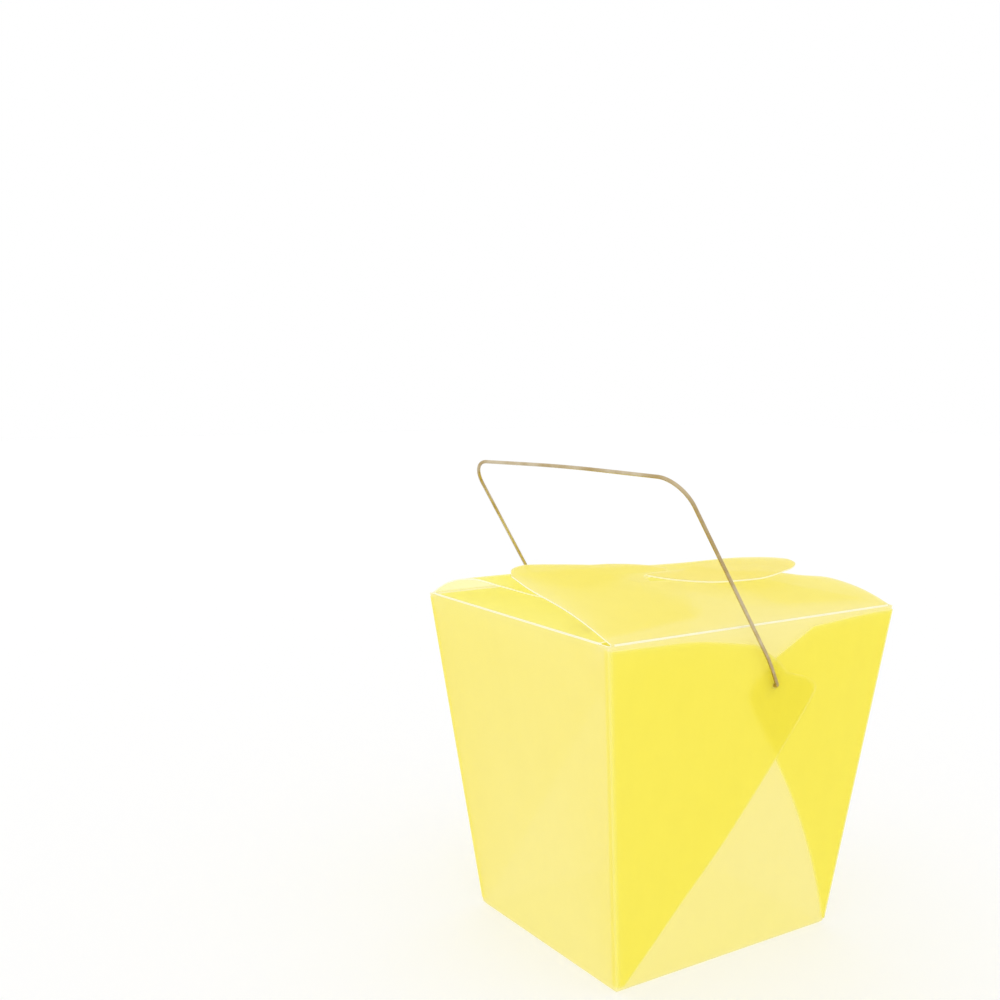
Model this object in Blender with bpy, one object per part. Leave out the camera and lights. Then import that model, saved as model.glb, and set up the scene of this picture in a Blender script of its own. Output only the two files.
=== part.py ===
"""Takeaway noodle box: one folded sheet of frosted plastic and a swinging wire handle.

The origin is the middle of the underside, with +Z up. The two sides that carry the
handle face -Y and +Y, the two plain sides face -X and +X. All sizes are in metres.
"""
import math

import bmesh
import bpy
from mathutils import Vector

# The walls: outer sizes of the tapering body, on the middle of the sheet
HEIGHT = 0.1016
TOP_LENGTH = 0.1094
TOP_WIDTH = 0.0908
BOTTOM_LENGTH = 0.0822
BOTTOM_WIDTH = 0.0684
SHEET = 0.00038
CORNER_BEVEL = 0.0006
CREASE_BEVEL = 0.0004

# The corner webs: folded layers that lie on the outside of the handle sides
LAYER_PITCH = 0.00044
WEB_SHEET = SHEET - 0.00004
WEB_FOOT = 0.0030
WEB_TOP = 0.1004
WEB_BEND = 0.0006
WEB_ROOT = 0.0015
WEB_CREASE_END = 0.0765
INNER_INSET = 0.0008
LIFT_START = -0.024
LIFT_END = -0.006

# The wire handle and the holes that it turns in
HINGE_X = 0.0059
HINGE_Z = 0.0831
HOLE_RADIUS = 0.0008
WIRE_RADIUS = 0.00055
LEG_OUT = 0.0462
TAIL_OUT = 0.0406
NEAR_KNEE = Vector((-0.0050, -0.0478, 0.0080))
FAR_KNEE = Vector((-0.0125, 0.0482, 0.0080))
NEAR_SHOULDER = Vector((-0.0399, -0.0486, 0.0607))
FAR_SHOULDER = Vector((-0.0447, 0.0472, 0.0598))
BAR_RISE = 0.0008
TAIL_LENGTH = 0.0145
TAIL_LEAN = math.radians(22.5)
NEAR_SHOULDER_RADIUS = 0.0091
FAR_SHOULDER_RADIUS = 0.0089
PIN_RADIUS = 0.0011
KNEE_RADIUS = 0.042
BAR_RADIUS = 1.0

# The lid: two long flaps whose wavy ends hook into each other, over two short ones
FLAP_START = 0.0012
SLOT_ACROSS = 0.050
SLOT_NEAR = 0.043
SLOT_FAR = 0.046
DOME_END = 0.0709
SHORT_FLAP_DEPTH = 0.042
SHORT_FLAP_RELIEF = 0.0042
SHORT_FLAP_TIP = 0.036
SHORT_FLAP_DIP = -0.03

# Height of a long flap over its hinge at a depth d: slope * d + bend * d**2 + recover * d**3
RISE_OVER = (0.30, -2.5, 0.0)
RISE_UNDER_NEAR = (0.381, -8.0, 48.1)
RISE_UNDER_FAR = (0.614, -15.1, 101.0)
# Share by which a dome stands higher at its free end, where that begins, and its lowest share
SPRING_NEAR = (0.13, 0.021, -0.15)
SPRING_FAR = (0.10, 0.025, -0.01)
SPRING_FALL = 10.0
TUCK = 0.0009
CROSSING = 0.012

# Points nearer to each other than this are one point
TOUCHING = 0.00001

# How finely each part is divided
HINGE_ROWS = 9
DOME_ROWS = 6
DOME_COLUMNS = 12
WAVE_COLUMNS = 16
HOOK_COLUMNS = 5
WEB_COLUMNS = 6
WEB_CREASE_ROWS = 8
WEB_TIP_ROWS = 6


def clear_scene():
    for old in list(bpy.data.objects):
        bpy.data.objects.remove(old, do_unlink=True)


def make_material(name, colour, roughness, metallic):
    material = bpy.data.materials.new(name)
    material.use_nodes = True
    shader = material.node_tree.nodes["Principled BSDF"]
    shader.inputs["Base Color"].default_value = (*colour, 1.0)
    shader.inputs["Roughness"].default_value = roughness
    shader.inputs["Metallic"].default_value = metallic
    return material


def same(a, b):
    return abs(a - b) < TOUCHING


def blend(low, high, share):
    return low + (high - low) * share


def smooth_step(share):
    share = min(max(share, 0.0), 1.0)
    return share * share * (3.0 - 2.0 * share)


def half_length(z):
    return blend(BOTTOM_LENGTH, TOP_LENGTH, z / HEIGHT) / 2


def half_width(z):
    return blend(BOTTOM_WIDTH, TOP_WIDTH, z / HEIGHT) / 2


def smooth_path(points, steps):
    """A smooth curve through the points, as steps + 1 points evenly spaced along it."""
    corners = [Vector(point) for point in points]
    first = corners[0] * 2 - corners[1]
    last = corners[-1] * 2 - corners[-2]
    guides = [first] + corners + [last]
    fine = []
    for a, b, c, d in zip(guides, guides[1:], guides[2:], guides[3:]):
        for part in range(12):
            t = part / 12
            fine.append(((b * 2) + (c - a) * t + (a * 2 - b * 5 + c * 4 - d) * t ** 2
                         + (b * 3 - a - c * 3 + d) * t ** 3) / 2)
    fine.append(corners[-1])
    reach = [0.0]
    for a, b in zip(fine, fine[1:]):
        reach.append(reach[-1] + (b - a).length)
    path = []
    place = 0
    for step in range(steps + 1):
        target = reach[-1] * step / steps
        while place < len(fine) - 2 and reach[place + 1] < target:
            place += 1
        span = reach[place + 1] - reach[place]
        path.append(fine[place].lerp(fine[place + 1], min((target - reach[place]) / span, 1.0)))
    return path


def straight_path(start, end, steps):
    return [Vector(start).lerp(Vector(end), step / steps) for step in range(steps + 1)]


def fill_between(low, high, left, right, shares=None):
    """Rows of points between four edges that share their ends."""
    columns = len(low) - 1
    rows = len(left) - 1
    shares = shares or [row / rows for row in range(rows + 1)]
    net = []
    for row, v in enumerate(shares):
        line = []
        for column in range(columns + 1):
            u = column / columns
            along = low[column].lerp(high[column], v)
            across = left[row].lerp(right[row], u)
            ends = low[0].lerp(low[-1], u).lerp(high[0].lerp(high[-1], u), v)
            line.append(along + across - ends)
        net.append(line)
    return net


def add_net(bm, net):
    """Add rows of points as quads."""
    grid = [[bm.verts.new(point) for point in row] for row in net]
    for below, above in zip(grid, grid[1:]):
        for a, b, c, d in zip(below, below[1:], above[1:], above):
            bm.faces.new((a, b, c, d))


def half_turn(net):
    """The same net, turned half a turn about the box's upright axis."""
    return [[Vector((-p.x, -p.y, p.z)) for p in row] for row in net]


def mirror_y(net):
    return [[Vector((p.x, -p.y, p.z)) for p in row] for row in net]


def mirror_x(net):
    return [[Vector((-p.x, p.y, p.z)) for p in row] for row in net]


def rise(depth, shape):
    slope, bend, recover = shape
    return slope * depth + bend * depth ** 2 + recover * depth ** 3


def spring(across, depth, shape):
    """How much higher a dome stands towards its free end, and lower towards its slot."""
    most, start, least = shape
    share = min(max(most - SPRING_FALL * (across - start), least), most)
    return 1 + share * smooth_step((depth - 0.030) / 0.035)


def lid_point(across, depth, under, sprung):
    """A point of the near long flap, from its left end and its depth from the hinge.

    The flap lies over the other on its left and under it on its right. It changes over
    at the slots in the middle, which hook into each other.
    """
    x = across - TOP_LENGTH / 2
    y = depth - TOP_WIDTH / 2
    side = min(max(y / 0.0015, (-CROSSING - x) / 0.003), (CROSSING - x) / 0.003)
    on_top = 0.5 + 0.5 * math.sin(math.pi / 2 * min(max(side, -1.0), 1.0))
    broad = smooth_step(0.5 - x / 0.080)
    share = broad + (1 - broad) * on_top * smooth_step((depth - 0.040) / 0.008)
    over = rise(depth, RISE_OVER) * spring(across, depth, sprung)
    height = blend(rise(depth, under), over, share)
    tucked = TUCK * (1 - on_top) * smooth_step((depth - 0.022) / 0.012)
    return Vector((x, y, HEIGHT + height - tucked))


def lid_nets(under, sprung):
    """The three nets of one long flap: big dome, wave with the small dome, and hook."""
    hinge_left = straight_path((FLAP_START, 0), (SLOT_ACROSS, 0), DOME_COLUMNS)
    hinge_right = straight_path((SLOT_ACROSS, 0), (TOP_LENGTH - FLAP_START, 0), WAVE_COLUMNS)
    inner = straight_path((SLOT_ACROSS, 0), (SLOT_ACROSS, SLOT_NEAR), HINGE_ROWS)
    outer = straight_path((SLOT_ACROSS, SLOT_FAR), (SLOT_ACROSS, DOME_END), DOME_ROWS)
    seam = inner + outer
    shares = [point.y / DOME_END for point in seam]

    side = smooth_path([(FLAP_START, 0), (0.0026, 0.020), (0.0034, 0.040), (0.0062, 0.054)], 60)
    side = [side[round(share * 60)] for share in shares]
    dome = smooth_path([(0.0062, 0.054), (0.012, 0.0625), (0.020, 0.0683), (0.030, 0.0714),
                        (0.041, 0.0718), (SLOT_ACROSS, DOME_END)], DOME_COLUMNS)
    wave = smooth_path([(SLOT_ACROSS, SLOT_NEAR), (0.057, 0.0430), (0.064, 0.0438),
                        (0.072, 0.0480), (0.080, 0.0535), (0.088, 0.0560), (0.096, 0.0525),
                        (0.102, 0.0430), (0.105, 0.0320)], WAVE_COLUMNS)
    wave_side = smooth_path([(TOP_LENGTH - FLAP_START, 0), (0.1084, 0.012), (0.1074, 0.022),
                             (0.105, 0.032)], HINGE_ROWS)
    hook_low = smooth_path([(SLOT_ACROSS, SLOT_FAR), (0.0555, 0.0460), (0.0605, 0.0470)],
                           HOOK_COLUMNS)
    hook_top = smooth_path([(SLOT_ACROSS, DOME_END), (0.0545, 0.0695), (0.0585, 0.0665)],
                           HOOK_COLUMNS)
    hook_tip = smooth_path([(0.0605, 0.0470), (0.0632, 0.0510), (0.0634, 0.0565),
                            (0.0617, 0.0622), (0.0585, 0.0665)], DOME_ROWS)

    flat = [fill_between(hinge_left, dome, side, seam, shares),
            fill_between(hinge_right, wave, inner, wave_side),
            fill_between(hook_low, hook_top, outer, hook_tip)]
    return [[[lid_point(p.x, p.y, under, sprung) for p in row] for row in net] for net in flat]


def hinge_columns():
    """Where the columns of a handle side stand, from -1 to 1 across it."""
    left = [FLAP_START + (SLOT_ACROSS - FLAP_START) * i / DOME_COLUMNS for i in range(DOME_COLUMNS)]
    span = TOP_LENGTH - FLAP_START - SLOT_ACROSS
    right = [SLOT_ACROSS + span * i / WAVE_COLUMNS for i in range(WAVE_COLUMNS + 1)]
    return [2 * a / TOP_LENGTH - 1 for a in [0.0] + left + right + [TOP_LENGTH]]


def plain_columns():
    """Where the columns of a plain side stand, from -1 to 1 across it."""
    hinge = 1 - 2 * SHORT_FLAP_RELIEF / TOP_WIDTH
    return [-1.0, -hinge, hinge, 1.0]


def handle_side():
    """The near handle side, bottom row and top row."""
    columns = hinge_columns()
    return [[Vector((a * half_length(z), -half_width(z), max(z, SHEET / 2))) for a in columns]
            for z in (0.0, HEIGHT)]


def plain_side():
    """The plain side at -X, bottom row and top row."""
    return [[Vector((-half_length(z), a * half_width(z), max(z, SHEET / 2)))
             for a in plain_columns()] for z in (0.0, HEIGHT)]


def bottom_panel():
    """The bottom: its rows end on the plain sides, its columns on the handle sides."""
    near = handle_side()[0]
    far = [Vector((-p.x, -p.y, p.z)) for p in reversed(near)]
    rows = []
    for a in plain_columns():
        rows.append([n.lerp(f, (a + 1) / 2) for n, f in zip(near, far)])
    return rows


def short_flap():
    """The short flap of the plain side at -X, tucked in below the long ones."""
    hinge = TOP_WIDTH / 2 - SHORT_FLAP_RELIEF
    rows = []
    for share in (0.0, 0.35, 0.7, 0.9, 1.0):
        reach = SHORT_FLAP_DEPTH * share
        half = blend(hinge, SHORT_FLAP_TIP, share) * (0.93 if share == 1.0 else 1.0)
        rows.append([Vector((reach - TOP_LENGTH / 2, side * half, HEIGHT - SHORT_FLAP_DIP * reach))
                     for side in (-1, 1)])
    return rows


def crease_edges(bm, test):
    """Edges that two faces share and whose two ends pass the test."""
    return [edge for edge in bm.edges
            if len(edge.link_faces) == 2 and all(test(v.co) for v in edge.verts)]


def bevel_creases(bm, width, test):
    bmesh.ops.bevel(bm, geom=crease_edges(bm, test), offset=width, offset_type="OFFSET",
                    segments=2, profile=0.5, affect="EDGES", clamp_overlap=True)


def new_object(name, bm, material):
    mesh = bpy.data.meshes.new(name)
    bm.to_mesh(mesh)
    bm.free()
    mesh.materials.append(material)
    thing = bpy.data.objects.new(name, mesh)
    bpy.context.scene.collection.objects.link(thing)
    return thing


def apply_modifiers(thing):
    """Replace the object's mesh by the one that its modifiers make."""
    graph = bpy.context.evaluated_depsgraph_get()
    solid = bpy.data.meshes.new_from_object(thing.evaluated_get(graph))
    thing.modifiers.clear()
    thing.data = solid


def thicken(thing, thickness):
    """Give the sheet its thickness, half to each side."""
    solidify = thing.modifiers.new("thickness", "SOLIDIFY")
    solidify.thickness = thickness
    solidify.offset = 0.0
    solidify.use_even_offset = True
    apply_modifiers(thing)


def make_body(material):
    """Bottom, walls and the four flaps as one sheet."""
    bm = bmesh.new()
    add_net(bm, bottom_panel())
    for net in (handle_side(), plain_side(), short_flap()):
        add_net(bm, net)
        add_net(bm, half_turn(net))
    for net in lid_nets(RISE_UNDER_NEAR, SPRING_NEAR):
        add_net(bm, net)
    for net in lid_nets(RISE_UNDER_FAR, SPRING_FAR):
        add_net(bm, half_turn(net))
    bmesh.ops.remove_doubles(bm, verts=bm.verts, dist=TOUCHING)
    bmesh.ops.recalc_face_normals(bm, faces=bm.faces)
    bevel_creases(bm, CREASE_BEVEL, lambda p: same(p.z, HEIGHT))
    bevel_creases(bm, CORNER_BEVEL, lambda p: same(p.z, SHEET / 2) and (
        same(abs(p.x), BOTTOM_LENGTH / 2) or same(abs(p.y), BOTTOM_WIDTH / 2)))
    body = new_object("carton", bm, material)
    thicken(body, SHEET)
    return body


def web_point(across, z, out):
    """A point on the near handle side, so far out from the middle of its sheet."""
    return Vector((across, -half_width(z) - out, z))


class Web:
    """One corner web: two layers folded back on each other along a slanting crease.

    Places are given from the web's own corner side: across runs from that corner,
    which is at minus half the length, towards the middle and past it.
    """

    def __init__(self, lean, bow, tip, top, over):
        self.lean = lean
        self.bow = bow
        self.tip = tip
        self.top = top
        self.over = over

    def crease(self, z):
        return -BOTTOM_LENGTH / 2 + z * (self.lean + self.bow * z)

    def lift(self, across):
        """How far the upper web rides out over the layers of the lower one."""
        if not self.over:
            return 0.0
        return 2 * LAYER_PITCH * smooth_step((across - LIFT_START) / (LIFT_END - LIFT_START))

    def edges(self, inset, drop):
        """The flat layer's four edges, as (across, height) points."""
        step = (WEB_CREASE_END - WEB_FOOT) / WEB_CREASE_ROWS
        heights = [WEB_FOOT + step * row for row in range(WEB_CREASE_ROWS + 1)]
        crease = [Vector((self.crease(z), z)) for z in heights]
        pull = Vector((drop, drop))
        tip_points = [crease[-1]] + [Vector(p) - pull for p in self.tip]
        right = crease + smooth_path(tip_points, WEB_TIP_ROWS)[1:]
        rows = len(right) - 1
        reach = WEB_TOP - drop - WEB_FOOT
        left_heights = [WEB_FOOT + reach * row / rows for row in range(rows + 1)]
        left = []
        for z in left_heights:
            room = self.crease(z) + half_length(z)
            left.append(Vector((-half_length(z) + min(inset, room / 2), z)))
        low = straight_path(left[0], right[0], WEB_COLUMNS)
        top_points = [left[-1]] + [Vector(p) - pull for p in self.top] + [right[-1]]
        high = smooth_path(top_points, WEB_COLUMNS)
        return low, high, left, right

    def layer(self, inset, drop, out):
        flat = fill_between(*self.edges(inset, drop))
        return [[web_point(p.x, p.y, out + self.lift(p.x)) for p in row] for row in flat]

    def fold(self):
        """The tight half-round bend that joins the two layers along the crease."""
        right = self.edges(WEB_BEND, 0.0)[3][:WEB_CREASE_ROWS + 1]
        strip = []
        for here, before, after in zip(right, [right[0]] + right[:-1], right[1:] + [right[-1]]):
            along = (after - before).normalized()
            away = Vector((along.y, -along.x))
            line = []
            for part in range(5):
                angle = math.pi * (0.5 - part / 4)
                place = here + away * (LAYER_PITCH / 2 * math.cos(angle))
                out = LAYER_PITCH * (1.5 + 0.5 * math.sin(angle))
                line.append(web_point(place.x, place.y, out + self.lift(here.x)))
            strip.append(line)
        return strip

    def corner(self):
        """The strip that turns round the upright corner into the plain side."""
        left = self.edges(WEB_BEND, 0.0)[2]
        strip = []
        for point in left:
            z = point.y
            centre_x = -half_length(z) + WEB_BEND
            centre_y = -half_width(z) - 2 * LAYER_PITCH + WEB_BEND
            line = []
            for part in range(4):
                angle = math.radians(-90 - 30 * part)
                line.append(Vector((centre_x + WEB_BEND * math.cos(angle),
                                    centre_y + WEB_BEND * math.sin(angle), z)))
            line.append(Vector((-half_length(z), -half_width(z) + WEB_ROOT, z)))
            strip.append(line)
        return strip

    def nets(self):
        outer = self.layer(WEB_BEND, 0.0, 2 * LAYER_PITCH)
        inner = self.layer(INNER_INSET, INNER_INSET, LAYER_PITCH)
        return [outer, inner, self.fold(), self.corner()]


def upper_web():
    """The web whose tip shows, with the handle's hole through it."""
    return Web(lean=0.93, bow=-1.5,
               tip=[(0.0232, 0.0803), (0.0195, 0.0837), (0.0106, 0.0866), (0.0062, 0.0905),
                    (-0.0034, 0.0964)],
               top=[(-0.040, 0.1001), (-0.024, 0.0994)], over=True)


def lower_web():
    """The web of the other corner, with its tip under the upper one."""
    return Web(lean=0.30, bow=3.3,
               tip=[(0.0036, 0.0812), (0.0026, 0.0845), (-0.0010, 0.0875), (-0.0056, 0.0910),
                    (-0.0200, 0.0988)],
               top=[(-0.040, 0.1001)], over=False)


def make_web(name, web, turn, material):
    bm = bmesh.new()
    for net in web.nets():
        for change in turn:
            net = change(net)
        add_net(bm, net)
    bmesh.ops.remove_doubles(bm, verts=bm.verts, dist=TOUCHING)
    bmesh.ops.recalc_face_normals(bm, faces=bm.faces)
    piece = new_object(name, bm, material)
    thicken(piece, WEB_SHEET)
    return piece


def add_boolean(thing, operation, other):
    change = thing.modifiers.new(operation.lower(), "BOOLEAN")
    change.operation = operation
    change.object = other
    change.solver = "EXACT"


def make_hole_cutter():
    """One round bar along the hinge line, which opens the hole in both handle sides."""
    bm = bmesh.new()
    bmesh.ops.create_cone(bm, cap_ends=True, segments=16, radius1=HOLE_RADIUS,
                          radius2=HOLE_RADIUS, depth=TOP_WIDTH * 1.4)
    mesh = bpy.data.meshes.new("hole_cutter")
    bm.to_mesh(mesh)
    bm.free()
    cutter = bpy.data.objects.new("hole_cutter", mesh)
    cutter.location = (HINGE_X, 0.0, HINGE_Z)
    cutter.rotation_euler = (math.pi / 2, 0.0, 0.0)
    cutter.hide_render = True
    cutter.display_type = "WIRE"
    bpy.context.scene.collection.objects.link(cutter)
    return cutter


def make_carton():
    """The whole folded sheet: body, four corner webs and the two round holes."""
    material = make_material("frosted_yellow_plastic", (0.955, 0.820, 0.150), 0.42, 0.0)
    body = make_body(material)
    webs = [make_web("web_upper_near", upper_web(), [], material),
            make_web("web_lower_near", lower_web(), [mirror_x], material),
            make_web("web_upper_far", upper_web(), [mirror_y], material),
            make_web("web_lower_far", lower_web(), [mirror_x, mirror_y], material)]
    for web in webs:
        add_boolean(body, "UNION", web)
    add_boolean(body, "DIFFERENCE", make_hole_cutter())
    bpy.context.view_layer.update()
    apply_modifiers(body)
    for web in webs:
        bpy.data.objects.remove(web, do_unlink=True)
    body.data.shade_smooth()
    body.data.set_sharp_from_angle(angle=math.radians(32))
    return body


def round_corners(corners, radii, steps):
    """The line through the corners, with an arc of the given radius at each inner one."""
    path = [corners[0]]
    for before, here, after, radius, count in zip(corners, corners[1:], corners[2:], radii, steps):
        back = (before - here).normalized()
        onward = (after - here).normalized()
        half = back.angle(onward) / 2
        centre = here + (back + onward).normalized() * (radius / math.sin(half))
        start = here + back * (radius / math.tan(half))
        turn = math.pi - 2 * half
        side = (centre - start).normalized()
        for part in range(count + 1):
            angle = turn * part / count
            path.append(centre - side * (radius * math.cos(angle))
                        - back * (radius * math.sin(angle)))
    path.append(corners[-1])
    return path


def make_handle():
    """One bent wire: a tail inside the box, a pin through the hole, a leg, the bar and back."""
    def pin(side, out):
        return Vector((0.0, side * out, 0.0))

    def tail(side):
        lean = Vector((-math.sin(TAIL_LEAN), 0.0, math.cos(TAIL_LEAN)))
        return pin(side, TAIL_OUT) + lean * TAIL_LENGTH

    middle = (NEAR_SHOULDER + FAR_SHOULDER) / 2 + Vector((0.0, 0.0, BAR_RISE))
    corners = [tail(-1), pin(-1, TAIL_OUT), pin(-1, LEG_OUT), NEAR_KNEE, NEAR_SHOULDER, middle,
               FAR_SHOULDER, FAR_KNEE, pin(1, LEG_OUT), pin(1, TAIL_OUT), tail(1)]
    radii = [PIN_RADIUS, PIN_RADIUS, KNEE_RADIUS, NEAR_SHOULDER_RADIUS, BAR_RADIUS,
             FAR_SHOULDER_RADIUS, KNEE_RADIUS, PIN_RADIUS, PIN_RADIUS]
    path = round_corners(corners, radii, [4, 4, 4, 8, 6, 8, 4, 4, 4])

    curve = bpy.data.curves.new("wire_handle", "CURVE")
    curve.dimensions = "3D"
    curve.bevel_depth = WIRE_RADIUS
    curve.bevel_resolution = 3
    curve.use_fill_caps = True
    spline = curve.splines.new("POLY")
    spline.points.add(len(path) - 1)
    for point, place in zip(spline.points, path):
        point.co = (*place, 1.0)
    curve.materials.append(make_material("bright_steel_wire", (0.62, 0.58, 0.50), 0.30, 1.0))
    handle = bpy.data.objects.new("wire_handle", curve)
    handle.location = (HINGE_X, 0.0, HINGE_Z)
    bpy.context.scene.collection.objects.link(handle)
    return handle


clear_scene()
make_carton()
make_handle()
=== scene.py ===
# %% [markdown]
# # A takeaway box folded from one frosted yellow sheet
# The object is a noodle box: a single cut sheet of translucent plastic, folded into a
# tapering tub with wavy lid flaps that hook into each other, and one bent steel wire
# that swings as its handle. The engineering model gives every place and size. This
# lesson dresses it: the same folds in a finer sheet, light that passes through frosted
# plastic, and bright drawn wire. The model is loaded first and is never moved.

# %% Load the fixed model
import math

import bmesh
import bpy
from mathutils import Matrix, Vector


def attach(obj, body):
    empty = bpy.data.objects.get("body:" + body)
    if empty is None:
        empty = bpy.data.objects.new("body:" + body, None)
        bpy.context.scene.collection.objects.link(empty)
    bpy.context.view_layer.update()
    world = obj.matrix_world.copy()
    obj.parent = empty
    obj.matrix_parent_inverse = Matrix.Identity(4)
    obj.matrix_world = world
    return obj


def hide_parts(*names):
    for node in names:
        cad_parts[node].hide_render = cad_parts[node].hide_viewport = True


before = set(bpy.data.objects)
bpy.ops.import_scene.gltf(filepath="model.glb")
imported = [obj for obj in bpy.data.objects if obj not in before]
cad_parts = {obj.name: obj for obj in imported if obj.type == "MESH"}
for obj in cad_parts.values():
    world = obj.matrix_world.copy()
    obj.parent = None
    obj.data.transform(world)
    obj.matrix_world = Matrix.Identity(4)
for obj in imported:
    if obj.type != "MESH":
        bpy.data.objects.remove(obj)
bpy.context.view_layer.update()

# %% [markdown]
# ## The measures of the box
# The box stands with the middle of its underside at the origin. Both pairs of walls
# lean outwards by the same rule, so two short functions say how far a wall stands from
# the middle at any height. Everything else that follows is drawn from these.

# %% Sizes in metres
HEIGHT = 0.1016
TOP_LENGTH = 0.1094
TOP_WIDTH = 0.0908
BOTTOM_LENGTH = 0.0822
BOTTOM_WIDTH = 0.0684
SHEET = 0.00038
HINGE = Vector((0.0059, 0.0, 0.0831))
HOLE_RADIUS = 0.0008
TOUCHING = 0.00001


def between(low, high, share):
    return low + (high - low) * share


def smooth_step(share):
    share = min(max(share, 0.0), 1.0)
    return share * share * (3.0 - 2.0 * share)


def half_length(z):
    return between(BOTTOM_LENGTH, TOP_LENGTH, z / HEIGHT) / 2


def half_width(z):
    return between(BOTTOM_WIDTH, TOP_WIDTH, z / HEIGHT) / 2


print("top:", TOP_LENGTH, "x", TOP_WIDTH, "bottom:", BOTTOM_LENGTH, "x", BOTTOM_WIDTH)

# %% [markdown]
# ## The camera
# The picture was taken from a little above the lid, off the left end of a handle side.
# The place, the turn and the focal length below were worked out from the corners of the
# box in the picture. A camera's own axes are its right, its up and the way back from
# its lens, so those three directions are the columns of its matrix.

# %% Place the camera
CAMERA_PLACE = Vector((-0.2431, -0.2832, 0.1700))
CAMERA_TURN = math.radians(-33.13)
CAMERA_DIP = math.radians(5.85)
CAMERA_ROLL = math.radians(0.35)
FOCAL_PIXELS = 1205.5
PICTURE_PIXELS = 1000
SENSOR_MM = 36.0
NEAREST_SEEN = 0.01

back = Vector((math.sin(CAMERA_TURN) * math.cos(CAMERA_DIP),
               -math.cos(CAMERA_TURN) * math.cos(CAMERA_DIP), math.sin(CAMERA_DIP)))
level = Vector((math.cos(CAMERA_TURN), math.sin(CAMERA_TURN), 0.0))
right = level * math.cos(CAMERA_ROLL) + back.cross(level) * math.sin(CAMERA_ROLL)
up = back.cross(right)
lens = bpy.data.cameras.new("camera")
lens.sensor_width = SENSOR_MM
lens.lens = FOCAL_PIXELS / PICTURE_PIXELS * lens.sensor_width
lens.clip_start = NEAREST_SEEN
camera = bpy.data.objects.new("camera", lens)
camera_turn = Matrix((right, up, back)).transposed().to_4x4()
camera.matrix_world = Matrix.Translation(CAMERA_PLACE) @ camera_turn
bpy.context.scene.collection.objects.link(camera)
bpy.context.scene.camera = camera
print("lens: %.1f mm" % lens.lens)

# %% [markdown]
# ## Lines and nets
# A sheet that is only folded and gently bent can be drawn as a net: four edge lines
# that share their ends, with every point inside blended from them. This is called a
# Coons patch. The edge lines themselves are smooth curves through a few chosen points,
# so the wavy lid needs only a dozen numbers, and any fineness can be asked for.

# %% Draw lines
FINE_STEPS = 24


def smooth_path(points, steps):
    """A smooth curve through the points, as steps + 1 points evenly spaced along it."""
    corners = [Vector(point) for point in points]
    guides = [corners[0] * 2 - corners[1]] + corners + [corners[-1] * 2 - corners[-2]]
    fine = []
    for a, b, c, d in zip(guides, guides[1:], guides[2:], guides[3:]):
        for part in range(FINE_STEPS):
            t = part / FINE_STEPS
            fine.append(((b * 2) + (c - a) * t + (a * 2 - b * 5 + c * 4 - d) * t ** 2
                         + (b * 3 - a - c * 3 + d) * t ** 3) / 2)
    fine.append(corners[-1])
    reach = [0.0]
    for a, b in zip(fine, fine[1:]):
        reach.append(reach[-1] + (b - a).length)
    path = []
    place = 0
    for step in range(steps + 1):
        target = reach[-1] * step / steps
        while place < len(fine) - 2 and reach[place + 1] < target:
            place += 1
        span = reach[place + 1] - reach[place]
        path.append(fine[place].lerp(fine[place + 1], min((target - reach[place]) / span, 1.0)))
    return path


def straight_path(start, end, steps):
    return [Vector(start).lerp(Vector(end), step / steps) for step in range(steps + 1)]


print("a smooth line of 10 steps has", len(smooth_path([(0, 0), (1, 1), (2, 0)], 10)), "points")

# %% Fill nets


def fill_between(low, high, left, right_edge, shares=None):
    """Rows of points between four edges that share their ends."""
    rows = len(left) - 1
    shares = shares or [row / rows for row in range(rows + 1)]
    net = []
    for row, v in enumerate(shares):
        line = []
        for column in range(len(low)):
            u = column / (len(low) - 1)
            along = low[column].lerp(high[column], v)
            across = left[row].lerp(right_edge[row], u)
            flat = low[0].lerp(low[-1], u).lerp(high[0].lerp(high[-1], u), v)
            line.append(along + across - flat)
        net.append(line)
    return net


def turned(net, across, along):
    """The net with its x times across and its y times along, each 1 or -1."""
    return [[Vector((p.x * across, p.y * along, p.z)) for p in row] for row in net]


def add_net(bm, net, finish_slot=0):
    """Faces between the points of the net, all with one slot for their finish."""
    grid = [[bm.verts.new(point) for point in row] for row in net]
    for below, above in zip(grid, grid[1:]):
        for a, b, c, d in zip(below, below[1:], above[1:], above):
            bm.faces.new((a, b, c, d)).material_index = finish_slot


square = [straight_path((0, y), (1, y), 2) for y in (0, 1)]
sides = [straight_path((x, 0), (x, 1), 2) for x in (0, 1)]
print("middle of a flat net:", tuple(fill_between(*square, *sides)[1][1]))

# %% [markdown]
# ## The two long lid flaps
# Each long flap has a big rounded dome at one end and a low wave at the other, with a
# slot between them. One flap is the other turned half a turn about the upright axis,
# so each dome lies over the other flap's wave and the slots hook together in the
# middle. The flaps are sprung: they rise from their hinges in a shallow curve.

# %% The height of a long flap
FLAP_START = 0.0012
SLOT_ACROSS = 0.050
SLOT_NEAR = 0.043
SLOT_FAR = 0.046
DOME_END = 0.0709
RISE_OVER = (0.30, -2.5, 0.0)
RISE_UNDER_NEAR = (0.381, -8.0, 48.1)
RISE_UNDER_FAR = (0.614, -15.1, 101.0)
SPRING_NEAR = (0.13, 0.021, -0.15)
SPRING_FAR = (0.10, 0.025, -0.01)
SPRING_FALL = 10.0
SPRING_FROM = 0.030
SPRING_LENGTH = 0.035
TUCK = 0.0009
TUCK_FROM = 0.022
TUCK_LENGTH = 0.012
CROSSING = 0.012
CROSSING_BLEND = 0.003
MIDDLE_BLEND = 0.0015
OVER_FROM = 0.040
OVER_LENGTH = 0.008
BROAD_LENGTH = 0.080


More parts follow.
